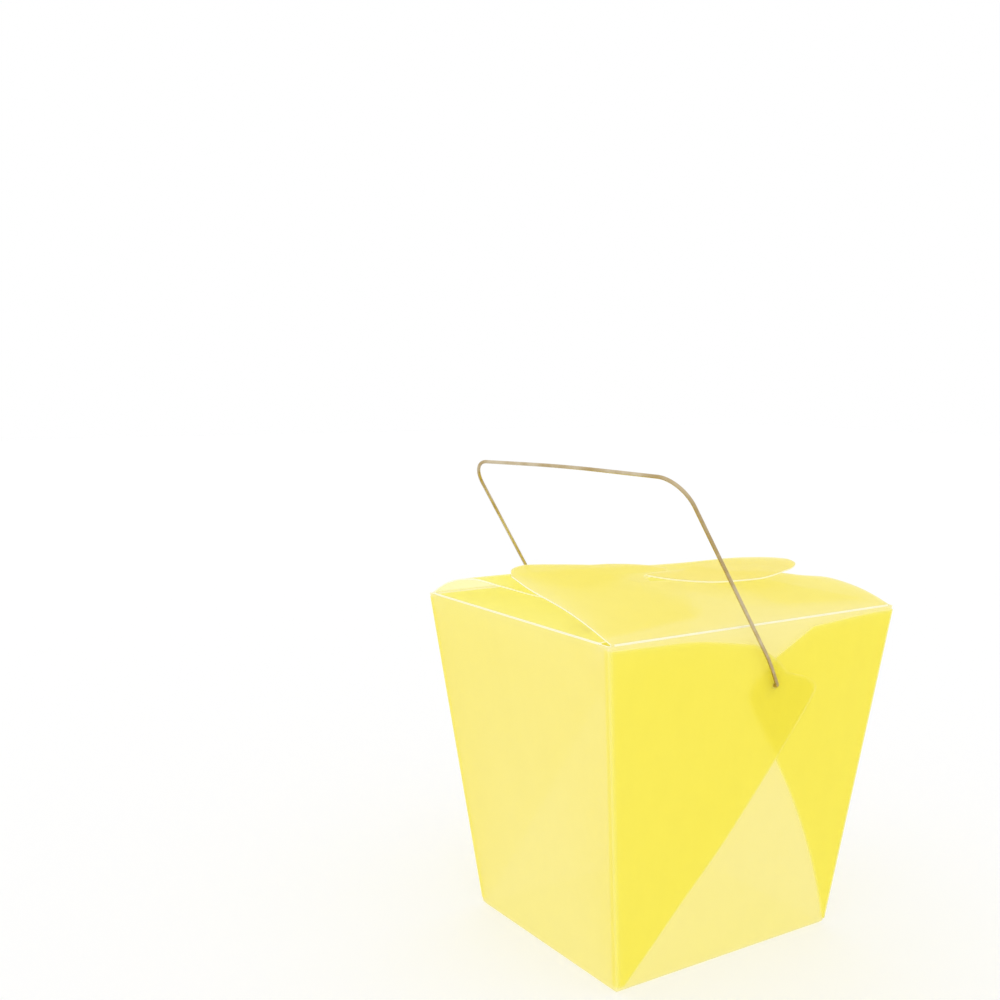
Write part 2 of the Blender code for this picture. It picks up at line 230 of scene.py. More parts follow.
def rise(depth, shape):
    """How high a flap stands over its hinge at this depth from it."""
    slope, bend, recover = shape
    return slope * depth + bend * depth ** 2 + recover * depth ** 3


def spring(across, depth, shape):
    """How much higher a dome stands towards its free end, and lower towards its slot."""
    most, start, least = shape
    share = min(max(most - SPRING_FALL * (across - start), least), most)
    return 1 + share * smooth_step((depth - SPRING_FROM) / SPRING_LENGTH)


def lid_point(across, depth, under, sprung):
    """A point of the near flap: over the other on its left and under it on its right."""
    x = across - TOP_LENGTH / 2
    y = depth - TOP_WIDTH / 2
    left_end = (-CROSSING - x) / CROSSING_BLEND
    right_end = (CROSSING - x) / CROSSING_BLEND
    side = min(max(y / MIDDLE_BLEND, left_end), right_end)
    on_top = 0.5 + 0.5 * math.sin(math.pi / 2 * min(max(side, -1.0), 1.0))
    broad = smooth_step(0.5 - x / BROAD_LENGTH)
    share = broad + (1 - broad) * on_top * smooth_step((depth - OVER_FROM) / OVER_LENGTH)
    over = rise(depth, RISE_OVER) * spring(across, depth, sprung)
    height = between(rise(depth, under), over, share)
    tucked = TUCK * (1 - on_top) * smooth_step((depth - TUCK_FROM) / TUCK_LENGTH)
    return Vector((x, y, HEIGHT + height - tucked))


highest = lid_point(0.030, DOME_END, RISE_UNDER_NEAR, SPRING_NEAR).z - HEIGHT
print("the near dome's edge stands %.1f mm over its hinge" % (1000 * highest))

# %% [markdown]
# The outline of a flap is a handful of points on the flat sheet, counted from the left
# end of its hinge: how far along the hinge, and how deep. Neighbouring lines end in the
# same point, so the nets between them meet and can be welded.

# %% The outline of a long flap
SIDE_LINE = [(FLAP_START, 0), (0.0026, 0.020), (0.0034, 0.040), (0.0062, 0.054)]
DOME_LINE = [(0.0062, 0.054), (0.012, 0.0625), (0.020, 0.0683), (0.030, 0.0714),
             (0.041, 0.0718), (SLOT_ACROSS, DOME_END)]
WAVE_LINE = [(SLOT_ACROSS, SLOT_NEAR), (0.057, 0.0430), (0.064, 0.0438), (0.072, 0.0480),
             (0.080, 0.0535), (0.088, 0.0560), (0.096, 0.0525), (0.102, 0.0430),
             (0.105, 0.0320)]
WAVE_SIDE_LINE = [(TOP_LENGTH - FLAP_START, 0), (0.1084, 0.012), (0.1074, 0.022),
                  (0.105, 0.032)]
HOOK_LOW_LINE = [(SLOT_ACROSS, SLOT_FAR), (0.0555, 0.0460), (0.0605, 0.0470)]
HOOK_TOP_LINE = [(SLOT_ACROSS, DOME_END), (0.0545, 0.0695), (0.0585, 0.0665)]
HOOK_TIP_LINE = [(0.0605, 0.0470), (0.0632, 0.0510), (0.0634, 0.0565), (0.0617, 0.0622),
                 (0.0585, 0.0665)]
SIDE_STEPS = 200
HINGE_ROWS = 27
DOME_ROWS = 15
DOME_COLUMNS = 30
WAVE_COLUMNS = 40
HOOK_COLUMNS = 9


def lid_nets(under, sprung):
    """The three nets of one long flap: big dome, wave with the small dome, and hook."""
    hinge_left = straight_path((FLAP_START, 0), (SLOT_ACROSS, 0), DOME_COLUMNS)
    hinge_right = straight_path((SLOT_ACROSS, 0), (TOP_LENGTH - FLAP_START, 0), WAVE_COLUMNS)
    inner = straight_path((SLOT_ACROSS, 0), (SLOT_ACROSS, SLOT_NEAR), HINGE_ROWS)
    outer = straight_path((SLOT_ACROSS, SLOT_FAR), (SLOT_ACROSS, DOME_END), DOME_ROWS)
    seam = inner + outer
    shares = [point.y / DOME_END for point in seam]
    fine_side = smooth_path(SIDE_LINE, SIDE_STEPS)
    side = [fine_side[round(share * SIDE_STEPS)] for share in shares]
    dome = smooth_path(DOME_LINE, DOME_COLUMNS)
    wave = smooth_path(WAVE_LINE, WAVE_COLUMNS)
    wave_side = smooth_path(WAVE_SIDE_LINE, HINGE_ROWS)
    hook_low = smooth_path(HOOK_LOW_LINE, HOOK_COLUMNS)
    hook_top = smooth_path(HOOK_TOP_LINE, HOOK_COLUMNS)
    hook_tip = smooth_path(HOOK_TIP_LINE, DOME_ROWS)
    flat = [fill_between(hinge_left, dome, side, seam, shares),
            fill_between(hinge_right, wave, inner, wave_side),
            fill_between(hook_low, hook_top, outer, hook_tip)]
    return [[[lid_point(p.x, p.y, under, sprung) for p in row] for row in net] for net in flat]


near_flap = lid_nets(RISE_UNDER_NEAR, SPRING_NEAR)
far_flap = [turned(net, -1, -1) for net in lid_nets(RISE_UNDER_FAR, SPRING_FAR)]
print("points in one flap:", sum(len(net) * len(net[0]) for net in near_flap))

# %% [markdown]
# ## The walls, the bottom and the short flaps
# Every wall is flat and widens towards the lid. The columns of the handle walls stand
# where the columns of the long flaps do, so wall and flap can be welded into one sheet.
# The two short flaps fold in first from the plain walls and lie below the long ones.

# %% Nets of the tub
SHORT_FLAP_DEPTH = 0.042
SHORT_FLAP_RELIEF = 0.0042
SHORT_FLAP_TIP = 0.036
SHORT_FLAP_RISE = 0.03
SHORT_FLAP_CORNER = 0.006
CORNER_FROM = 0.86
WALL_ROWS = 24
SHORT_FLAP_ROWS = 30
PLAIN_COLUMNS = 20


def hinge_columns():
    """Where the columns of a handle wall stand, from -1 to 1 across it."""
    dome_span = SLOT_ACROSS - FLAP_START
    wave_span = TOP_LENGTH - FLAP_START - SLOT_ACROSS
    left = [FLAP_START + dome_span * i / DOME_COLUMNS for i in range(DOME_COLUMNS)]
    rest = [SLOT_ACROSS + wave_span * i / WAVE_COLUMNS for i in range(WAVE_COLUMNS + 1)]
    return [2 * a / TOP_LENGTH - 1 for a in [0.0] + left + rest + [TOP_LENGTH]]


def even_columns(half):
    """Columns from minus half to half, evenly spaced."""
    return [half * (2 * i / PLAIN_COLUMNS - 1) for i in range(PLAIN_COLUMNS + 1)]


def plain_columns():
    """Where the columns of a plain wall stand, from -1 to 1 across it."""
    return [-1.0] + even_columns(1 - 2 * SHORT_FLAP_RELIEF / TOP_WIDTH) + [1.0]


def wall_heights():
    return [HEIGHT * row / WALL_ROWS for row in range(WALL_ROWS + 1)]


def handle_side():
    return [[Vector((a * half_length(z), -half_width(z), max(z, SHEET / 2)))
             for a in hinge_columns()] for z in wall_heights()]


def plain_side():
    return [[Vector((-half_length(z), a * half_width(z), max(z, SHEET / 2)))
             for a in plain_columns()] for z in wall_heights()]


def bottom_panel():
    near = handle_side()[0]
    far = [Vector((-p.x, -p.y, p.z)) for p in reversed(near)]
    return [[n.lerp(f, (a + 1) / 2) for n, f in zip(near, far)] for a in plain_columns()]


def short_flap():
    """The flap at -X, straight at its sides and rounded at the two corners of its tip."""
    hinge = TOP_WIDTH / 2 - SHORT_FLAP_RELIEF
    rows = []
    for row in range(SHORT_FLAP_ROWS + 1):
        share = row / SHORT_FLAP_ROWS
        reach = SHORT_FLAP_DEPTH * share
        half = between(hinge, SHORT_FLAP_TIP, share)
        into_corner = max(0.0, (share - CORNER_FROM) / (1 - CORNER_FROM))
        half -= SHORT_FLAP_CORNER * (1 - math.sqrt(1 - into_corner ** 2))
        z = HEIGHT + SHORT_FLAP_RISE * reach
        rows.append([Vector((reach - TOP_LENGTH / 2, y, z)) for y in even_columns(half)])
    return rows


print("columns across a handle wall:", len(hinge_columns()), "a plain wall:", len(plain_columns()))

# %% [markdown]
# ## The corner webs
# Folding a flat sheet into a tub leaves a spare corner of sheet at each upright edge.
# It isn't cut away, which is what keeps the box tight: it is folded double and laid
# flat on the outside of the handle wall, up to where the handle goes through it. So
# most of that wall is three sheets thick and looks deeper yellow, and only a triangle
# at its foot and a small notch at its top are a single sheet.

# %% The shape of one web
LAYER_PITCH = 0.00044
WEB_SHEET = SHEET - 0.00004
WEB_FOOT = 0.0018
WEB_TOP = 0.1004
WEB_BEND = 0.0006
WEB_ROOT = 0.0015
WEB_CREASE_END = 0.0765
INNER_INSET = 0.0003
LIFT_START = -0.024
LIFT_END = -0.006
WEB_COLUMNS = 22
WEB_CREASE_ROWS = 30
WEB_TIP_ROWS = 22
BEND_PARTS = 6


def web_point(across, z, out):
    """A point on the near handle wall, so far out from the middle of its sheet."""
    return Vector((across, -half_width(z) - out, z))


class Web:
    """One corner web, drawn from its own corner at minus half the length of the wall."""

    def __init__(self, lean, bow, tip, top, over):
        self.lean = lean
        self.bow = bow
        self.tip = tip
        self.top = top
        self.over = over

    def crease(self, z):
        return -BOTTOM_LENGTH / 2 + z * (self.lean + self.bow * z)

    def lift(self, across):
        """How far the upper web rides out over the layers of the lower one."""
        if not self.over:
            return 0.0
        return 2 * LAYER_PITCH * smooth_step((across - LIFT_START) / (LIFT_END - LIFT_START))

    def edges(self, inset, drop):
        """The flat layer's four edges, as (across, height) points."""
        step = (WEB_CREASE_END - WEB_FOOT) / WEB_CREASE_ROWS
        heights = [WEB_FOOT + step * row for row in range(WEB_CREASE_ROWS + 1)]
        crease = [Vector((self.crease(z), z)) for z in heights]
        pull = Vector((drop, drop))
        tip_points = [crease[-1]] + [Vector(p) - pull for p in self.tip]
        slanted = crease + smooth_path(tip_points, WEB_TIP_ROWS)[1:]
        rows = len(slanted) - 1
        upright = []
        for row in range(rows + 1):
            z = WEB_FOOT + (WEB_TOP - drop - WEB_FOOT) * row / rows
            room = self.crease(z) + half_length(z)
            upright.append(Vector((-half_length(z) + min(inset, room / 2), z)))
        low = straight_path(upright[0], slanted[0], WEB_COLUMNS)
        top_points = [upright[-1]] + [Vector(p) - pull for p in self.top] + [slanted[-1]]
        return low, smooth_path(top_points, WEB_COLUMNS), upright, slanted

    def layer(self, inset, drop, out):
        """One of the web's two layers, so far out from the middle of the wall's sheet."""
        flat = fill_between(*self.edges(inset, drop))
        return [[web_point(p.x, p.y, out + self.lift(p.x)) for p in row] for row in flat]


print("a web's outer layer lies %.2f mm out" % (1000 * 2 * LAYER_PITCH))

# %% [markdown]
# The two layers of a web are joined by a tight half-round bend along the slanting
# crease, and the outer layer turns round the upright corner into the plain wall.

# %% The bend and the corner strip


def web_fold(web):
    """The tight half-round bend that joins the two layers along the crease."""
    slanted = web.edges(WEB_BEND, 0.0)[3][:WEB_CREASE_ROWS + 1]
    befores = [slanted[0]] + slanted[:-1]
    afters = slanted[1:] + [slanted[-1]]
    strip = []
    for here, before, after in zip(slanted, befores, afters):
        along = (after - before).normalized()
        away = Vector((along.y, -along.x))
        line = []
        for part in range(BEND_PARTS + 1):
            angle = math.pi * (0.5 - part / BEND_PARTS)
            place = here + away * (LAYER_PITCH / 2 * math.cos(angle))
            out = LAYER_PITCH * (1.5 + 0.5 * math.sin(angle))
            line.append(web_point(place.x, place.y, out + web.lift(here.x)))
        strip.append(line)
    return strip


def web_corner(web):
    """The strip that turns round the upright corner into the plain wall."""
    strip = []
    for point in web.edges(WEB_BEND, 0.0)[2]:
        z = point.y
        middle_x = -half_length(z) + WEB_BEND
        middle_y = -half_width(z) - 2 * LAYER_PITCH + WEB_BEND
        line = []
        for part in range(BEND_PARTS + 1):
            angle = math.radians(-90 - 90 * part / BEND_PARTS)
            line.append(Vector((middle_x + WEB_BEND * math.cos(angle),
                                middle_y + WEB_BEND * math.sin(angle), z)))
        line.append(Vector((-half_length(z), -half_width(z) + WEB_ROOT, z)))
        strip.append(line)
    return strip


UPPER_WEB = Web(lean=0.93, bow=-1.5,
                tip=[(0.0232, 0.0803), (0.0195, 0.0837), (0.0106, 0.0866), (0.0062, 0.0905),
                     (-0.0034, 0.0964)],
                top=[(-0.040, 0.1001), (-0.024, 0.0994)], over=True)
LOWER_WEB = Web(lean=0.30, bow=3.3,
                tip=[(0.0036, 0.0812), (0.0026, 0.0845), (-0.0010, 0.0875), (-0.0056, 0.0910),
                     (-0.0200, 0.0988)],
                top=[(-0.040, 0.1001)], over=False)


def web_nets(web):
    """The outer layer, the inner layer, the bend between them and the corner strip."""
    return [web.layer(WEB_BEND, 0.0, 2 * LAYER_PITCH),
            web.layer(INNER_INSET, INNER_INSET, LAYER_PITCH), web_fold(web), web_corner(web)]


print("nets in one web:", len(web_nets(UPPER_WEB)))

# %% [markdown]
# ## Node recipes for finishes
# A material is a small program of nodes. Writing each link by hand hides what it works
# out, so one class wraps a socket and lets Python's own signs add the Math nodes. Any
# other node comes from one method, which sets its settings first and then its sockets.
# The world outside the object is the same kind of program, so it uses the same recipe.

# %% A socket that can be calculated with


class Amount:
    """One number of a shader, which the signs + and * can work with from either side."""

    def __init__(self, recipe, socket):
        self.recipe = recipe
        self.socket = socket

    def maths(self, operation, first, second):
        return self.recipe.node("Math", {"operation": operation}, {0: first, 1: second})

    def __add__(self, other):
        return self.maths("ADD", self, other)

    def __mul__(self, other):
        return self.maths("MULTIPLY", self, other)

    __radd__ = __add__
    __rmul__ = __mul__


# %% A recipe of nodes


class Recipe:
    """A shader in the making: every node of it comes from node()."""

    def __init__(self, tree):
        self.tree = tree
        self.tree.nodes.clear()

    def node(self, kind, settings=None, values=None, output=0):
        """A new node with its settings, then its sockets, as the amount that it gives."""
        made = self.tree.nodes.new("ShaderNode" + kind)
        for setting, value in (settings or {}).items():
            setattr(made, setting, value)
        for name, value in (values or {}).items():
            if isinstance(value, Amount):
                self.tree.links.new(value.socket, made.inputs[name])
            else:
                made.inputs[name].default_value = value
        return Amount(self, made.outputs[output]) if made.outputs else made

    def noise(self, place, scale, detail, roughness=0.5):
        return self.node("TexNoise", {}, {"Vector": place, "Scale": scale, "Detail": detail,
                                          "Roughness": roughness})

    def ranged(self, value, low, high, to_low, to_high):
        """The value carried from one range to another, and held inside it."""
        return self.node("MapRange", {"clamp": True}, {
            "Value": value, "From Min": low, "From Max": high, "To Min": to_low, "To Max": to_high})

    def mixed(self, share, first, second):
        """A colour between two colours."""
        return self.node("Mix", {"data_type": "RGBA"}, {0: share, 6: first, 7: second}, output=2)


class Finish(Recipe):
    """The recipe of one material."""

    def __init__(self, name):
        self.material = bpy.data.materials.new(name)
        self.material.use_nodes = True
        super().__init__(self.material.node_tree)

    def finished(self, surface):
        self.node("OutputMaterial", {}, {"Surface": surface})
        return self.material


WHITE = (1.0, 1.0, 1.0, 1.0)
print("a recipe can make:", [part for part in vars(Recipe) if not part.startswith("_")])

# %% [markdown] ## Frosted plastic The sheet is polypropylene with a fine matt grain.
# Light doesn't go straight through it and doesn't bounce straight off: it is scattered
# both ways, and each sheet that it passes takes away some blue. So single sheets look
# pale lemon, and stacked sheets look deep yellow. Most of the scattered light comes out
# on the far side, some comes back from the surface, and a share passes straight
# through. Whitened folds get a paler one that lets less through.

# %% Make the frosted plastic
CLOUD_SCALE = 26.0
CLOUD_PART = 0.88
STREAK_SCALE = 160.0
STREAK_PART = 0.12
UPRIGHT_STREAKS = (1.0, 1.0, 0.35)
GRAIN_SCALE = 1500.0
GRAIN_DEPTH = 0.00006
GRAIN_STRENGTH = 0.35
MATT_FROM = 0.40
MATT_TO = 0.54
PLASTIC_IOR = 1.46
DEEPER_TONE = (1.0, 0.997, 0.95)
PALER_TONE = 0.05
CLEAR_AT_DEEP = 0.87
CLEAR_AT_PALE = 1.13


def frosted_plastic(name, face_colour, pass_colour, clear_share, passed_share):
    """Plastic with a colour for its face and one for the light that passes through it."""
    finish = Finish(name)
    place = finish.node("TexCoord", {}, {}, output=3)
    clouds = finish.noise(place, CLOUD_SCALE, 2.0, 0.5)
    streaks = finish.noise(finish.node("Mapping", {}, {
        "Vector": place, "Scale": UPRIGHT_STREAKS}), STREAK_SCALE, 2.0, 0.5)
    grain = finish.noise(place, GRAIN_SCALE, 3.0, 0.6)
    mottled = clouds * CLOUD_PART + streaks * STREAK_PART
    tone = finish.ranged(mottled, 0.30, 0.70, 0.0, 1.0)
    deep = tuple(c * k for c, k in zip(face_colour, DEEPER_TONE))
    pale = tuple(between(c, 1.0, PALER_TONE) for c in face_colour)
    colour = finish.mixed(tone, (*deep, 1.0), (*pale, 1.0))
    bump = finish.node("Bump", {}, {
        "Strength": GRAIN_STRENGTH, "Distance": GRAIN_DEPTH, "Height": grain})
    matt = finish.ranged(grain, 0.35, 0.65, MATT_FROM, MATT_TO)
    face = finish.node("BsdfPrincipled", {}, {
        "Base Color": colour, "Roughness": matt,
        "IOR": PLASTIC_IOR, "Specular IOR Level": 0.5, "Normal": bump})
    passed = finish.node("BsdfTranslucent", {}, {"Color": (*pass_colour, 1.0), "Normal": bump})
    scattered = finish.node("MixShader", {}, {0: passed_share, 1: face, 2: passed})
    clear = finish.node("BsdfTransparent", {}, {"Color": (*pass_colour, 1.0)})
    share = finish.ranged(tone, 0.0, 1.0, clear_share * CLEAR_AT_DEEP,
                          clear_share * CLEAR_AT_PALE)
    return finish.finished(finish.node("MixShader", {}, {0: share, 1: scattered, 2: clear}))


sheet_finish = frosted_plastic(
    "frosted_yellow_sheet", face_colour=(0.99, 0.90, 0.52), pass_colour=(0.996, 0.978, 0.815),
    clear_share=0.30, passed_share=0.85)
# A deeper copy of the same plastic, with less blue and more let through, goes on the webs and on
# the parts that lie under other sheets. Its deeper yellow is painted shade: it stands in for the
# light that stacked sheets take away, on top of what the real extra layers already do.
layer_shade_finish = frosted_plastic(
    "frosted_yellow_painted_layer_shade", face_colour=(0.99, 0.95, 0.30), pass_colour=(0.998, 0.990, 0.75),
    clear_share=0.42, passed_share=0.85)
fold_finish = frosted_plastic(
    "pressed_fold", face_colour=(1.0, 1.0, 0.93), pass_colour=(1.0, 1.0, 0.96),
    clear_share=0.05, passed_share=0.45)
print("finishes:", sheet_finish.name, layer_shade_finish.name, fold_finish.name)

# %% [markdown]
# ## From nets to sheets of plastic
# Each part of the box is laid out as nets, welded where they share an edge, given
# rounded folds by a bevel along its creases, and only then given its thickness. The
# rim that the thickness opens is a cut edge, which scatters more light and looks
# paler: it takes the finish of the folds on the lid, and that of a single sheet on the
# webs, whose edges are pressed against the wall.

# %% Make a sheet part
CREASE_BEVEL = 0.0004
CORNER_BEVEL = 0.0006
BEVEL_PARTS = 4
SMOOTH_UP_TO = math.radians(34)
EDGE_SLOT = 1
# The slot of the painted-shade copy of the plastic.
LAYER_SHADE_SLOT = 2


def same(a, b):
    return abs(a - b) < TOUCHING


def link_new(name, mesh):
    thing = bpy.data.objects.new(name, mesh)
    bpy.context.scene.collection.objects.link(thing)
    return thing


def evaluated_mesh(thing):
    """The plain mesh that the object's modifiers make."""
    graph = bpy.context.evaluated_depsgraph_get()
    return bpy.data.meshes.new_from_object(thing.evaluated_get(graph))


def keep_result(thing):
    """Swap the object's mesh for the result of its modifiers."""
    result = evaluated_mesh(thing)
    thing.modifiers.clear()
    thing.data = result


def round_creases(bm, width, test):
    """Round every edge between two faces whose ends both pass the test."""
    edges = [edge for edge in bm.edges
             if len(edge.link_faces) == 2 and all(test(v.co) for v in edge.verts)]
    bmesh.ops.bevel(bm, geom=edges, offset=width, offset_type="OFFSET", segments=BEVEL_PARTS,
                    profile=0.5, affect="EDGES", clamp_overlap=True)


def sheet_part(name, nets, thickness, finish, edge_finish, creases=(), layer_shade_nets=()):
    """Weld the nets, round their creases and give them a thickness.

    A rim takes the slot after its face's own, so both slots are followed by the edge's.
    """
    bm = bmesh.new()
    for net in nets:
        add_net(bm, net)
    # These nets wear the deeper copy, whose colour is painted shade for stacked sheets.
    for net in layer_shade_nets:
        add_net(bm, net, LAYER_SHADE_SLOT)
    bmesh.ops.remove_doubles(bm, verts=bm.verts, dist=TOUCHING)
    bmesh.ops.recalc_face_normals(bm, faces=bm.faces)
    for width, test in creases:
        round_creases(bm, width, test)
    mesh = bpy.data.meshes.new(name)
    bm.to_mesh(mesh)
    bm.free()
    for material in (finish, edge_finish, layer_shade_finish, edge_finish):
        mesh.materials.append(material)
    thing = link_new(name, mesh)
    solid = thing.modifiers.new("thickness", "SOLIDIFY")
    solid.thickness = thickness
    solid.offset = 0.0
    solid.use_even_offset = True
    solid.material_offset_rim = EDGE_SLOT
    keep_result(thing)
    print(name, len(thing.data.polygons), "faces")
    return thing


print("edge slot:", EDGE_SLOT, "slot of the deeper nets:", LAYER_SHADE_SLOT)

# %% Fold the tub and its four corner webs
FAR_WAVE = 1
tub_nets = near_flap + [net for net in far_flap if net is not far_flap[FAR_WAVE]]
for net in (handle_side(), plain_side()):
    tub_nets += [net, turned(net, -1, -1)]
# The bottom, the short flaps and the far flap's wave lie under other sheets. They wear the deeper
# copy, which paints the shade of the stacked sheets into their colour.
layer_shade_nets = [bottom_panel(), short_flap(), turned(short_flap(), -1, -1), far_flap[FAR_WAVE]]


def on_lid_crease(p):
    return same(p.z, HEIGHT)


def on_foot_crease(p):
    on_side = same(abs(p.x), BOTTOM_LENGTH / 2) or same(abs(p.y), BOTTOM_WIDTH / 2)
    return same(p.z, SHEET / 2) and on_side


tub = sheet_part("folded_tub_and_lid", tub_nets, SHEET, sheet_finish, fold_finish,
                 [(CREASE_BEVEL, on_lid_crease), (CORNER_BEVEL, on_foot_crease)],
                 layer_shade_nets)
webs = []
for side, along in (("near", 1), ("far", -1)):
    for level_name, web, across in (("upper", UPPER_WEB, 1), ("lower", LOWER_WEB, -1)):
        nets = [turned(net, across, along) for net in web_nets(web)]
        # The webs wear the deeper copy: painted shade for their stacked layers, on top of the real
        # layers that they add.
        webs.append(sheet_part("corner_web_%s_%s" % (level_name, side), nets, WEB_SHEET,
                               layer_shade_finish, sheet_finish))

# %% [markdown]
# ## The two handle holes
# One round punch goes through all the layers of both handle walls along the hinge
# line, so the holes can't miss each other. A boolean does the same work here.

# %% Punch the holes
HOLE_SIDES = 40
PUNCH_LENGTH = TOP_WIDTH * 1.4

bm = bmesh.new()
bmesh.ops.create_cone(bm, cap_ends=True, segments=HOLE_SIDES, radius1=HOLE_RADIUS,
                      radius2=HOLE_RADIUS, depth=PUNCH_LENGTH,
                      matrix=Matrix.Translation(HINGE) @ Matrix.Rotation(math.pi / 2, 4, "X"))
punch_mesh = bpy.data.meshes.new("punch")
bm.to_mesh(punch_mesh)
bm.free()
punch = link_new("punch", punch_mesh)
for part in [tub] + webs:
    cut = part.modifiers.new("hole", "BOOLEAN")
    cut.operation = "DIFFERENCE"
    cut.solver = "EXACT"
    cut.object = punch
bpy.context.view_layer.update()
for part in [tub] + webs:
    keep_result(part)
    part.data.shade_smooth()
    part.data.set_sharp_from_angle(angle=SMOOTH_UP_TO)
bpy.data.objects.remove(punch, do_unlink=True)
print("punched", 1 + len(webs), "sheets")

# %% [markdown]
# ## Lines swept by nodes
# Pressed folds and the wire are both a round section carried along a line, which is
# work for Geometry Nodes: the tree turns the edges of a mesh into curves, gives them
# their thickness from a named input, and sweeps a circle along them. A number stored
# on the line tells the finish later how far along it a point is.

# %% Build the sweeping tree
CAPS_STAY_SHARP = math.radians(50)


def sweeping_tree(name, finish):
    """The tree, and the identifier of each of its inputs."""
    tree = bpy.data.node_groups.new(name, "GeometryNodeTree")
    inputs = {}
    for label, kind in (("Lines", "Geometry"), ("Radius", "Float"), ("Sides", "Int")):
        inputs[label] = tree.interface.new_socket(label, in_out="INPUT",
                                                  socket_type="NodeSocket" + kind).identifier
    tree.interface.new_socket("Swept", in_out="OUTPUT", socket_type="NodeSocketGeometry")

    def node(kind, settings=None, **links):
        made = tree.nodes.new(kind)
        for setting, value in (settings or {}).items():
            setattr(made, setting, value)
        for socket, source in links.items():
            target = made.inputs[socket.replace("_", " ")]
            if isinstance(source, bpy.types.NodeSocket):
                tree.links.new(source, target)
            else:
                target.default_value = source
        return made

    given = node("NodeGroupInput").outputs
    lines = node("GeometryNodeMeshToCurve", Mesh=given["Lines"]).outputs[0]
    taper = node("GeometryNodeInputNamedAttribute", {"data_type": "FLOAT"}, Name="taper")
    thick = node("GeometryNodeSetCurveRadius", Curve=lines, Radius=taper.outputs[0]).outputs[0]
    measure = node("GeometryNodeSplineParameter").outputs
    marked = node("GeometryNodeStoreNamedAttribute", {"data_type": "FLOAT", "domain": "POINT"},
                  Geometry=thick, Name="along", Value=measure["Length"]).outputs[0]
    ring = node("GeometryNodeCurvePrimitiveCircle", Resolution=given["Sides"],
                Radius=given["Radius"]).outputs[0]
    turn = node("GeometryNodeStoreNamedAttribute", {"data_type": "FLOAT", "domain": "POINT"},
                Geometry=ring, Name="around", Value=measure["Factor"]).outputs[0]
    swept = node("GeometryNodeCurveToMesh", Curve=marked, Profile_Curve=turn,
                 Fill_Caps=True).outputs[0]
    real = node("GeometryNodeRealizeInstances", Geometry=swept).outputs[0]
    dressed = node("GeometryNodeSetMaterial", Geometry=real, Material=finish).outputs[0]
    tree.links.new(dressed, node("NodeGroupOutput").inputs[0])
    return tree, inputs


def sweep(name, lines, tapers, radius, sides, finish):
    """A piece swept along lines of points, with a share of the radius for each point."""
    mesh = bpy.data.meshes.new(name)
    points = [point for line in lines for point in line]
    edges = []
    first = 0
    for line in lines:
        edges += [(i, i + 1) for i in range(first, first + len(line) - 1)]
        first += len(line)
    mesh.from_pydata([tuple(point) for point in points], edges, [])
    mesh.attributes.new("taper", "FLOAT", "POINT").data.foreach_set(
        "value", [share for line in tapers for share in line])
    thing = link_new(name, mesh)
    tree, inputs = sweeping_tree(name + "_nodes", finish)
    modifier = thing.modifiers.new("sweep", "NODES")
    modifier.node_group = tree
    modifier[inputs["Radius"]] = radius
    modifier[inputs["Sides"]] = sides
    keep_result(thing)
    thing.data.shade_smooth()
    thing.data.set_sharp_from_angle(angle=CAPS_STAY_SHARP)
    print(name, len(thing.data.polygons), "faces")
    return thing


print("a swept edge stays sharp past %.0f degrees" % math.degrees(CAPS_STAY_SHARP))

# %% [markdown]
# ## Pressed folds
# Where the sheet is creased the plastic is stretched and turns white, and a small bead
# stands along the fold. The brightest are the two hinges of the short flaps, and those
# of the long flaps are finer. Each bead is a thin line that fades out at its ends.

# %% Lay the beads along the folds
BEAD_RADIUS = 0.00030
BEAD_SIDES = 10
BEAD_END = 0.35
BEAD_FADE = 6
SHORT_BEAD = 1.15
LONG_BEAD = 0.25
SHORT_BEAD_INSET = 0.003
LONG_BEAD_INSET = 0.002
SHORT_BEAD_STEPS = 60
LONG_BEAD_STEPS = 70


def fading(line, share):
    """The bead's share of its radius at each point: full along the line, thin at its ends."""
    last = len(line) - 1
    full = [smooth_step(BEAD_FADE * min(i, last - i) / last) for i in range(last + 1)]
    return [share * (BEAD_END + (1 - BEAD_END) * part) for part in full]


fold_lines = []
fold_tapers = []
for sign in (-1, 1):
    x = sign * TOP_LENGTH / 2
    y = sign * TOP_WIDTH / 2
    short_reach = TOP_WIDTH / 2 - SHORT_BEAD_INSET
    long_reach = TOP_LENGTH / 2 - LONG_BEAD_INSET
    short_hinge = straight_path((x, -short_reach, HEIGHT), (x, short_reach, HEIGHT),
                                SHORT_BEAD_STEPS)
    long_hinge = straight_path((-long_reach, y, HEIGHT), (long_reach, y, HEIGHT),
                               LONG_BEAD_STEPS)
    fold_lines += [short_hinge, long_hinge]
    fold_tapers += [fading(short_hinge, SHORT_BEAD), fading(long_hinge, LONG_BEAD)]
print("beads:", len(fold_lines))
fold_beads = sweep("pressed_fold_beads", fold_lines, fold_tapers, BEAD_RADIUS, BEAD_SIDES,
                   fold_finish)

# %% [markdown]
# ## The wire handle
# The handle is one steel wire about as thick as a paper clip. It starts inside the box
# with a short tail, turns out through the hole, rises along the wall, bends over at
# the shoulder and comes back the same way. Its line is a list of corners, each rounded
# by its own bend radius, as a bender's pin would leave it. The ends are snipped, so the
# last fraction of a millimetre is drawn in a little.

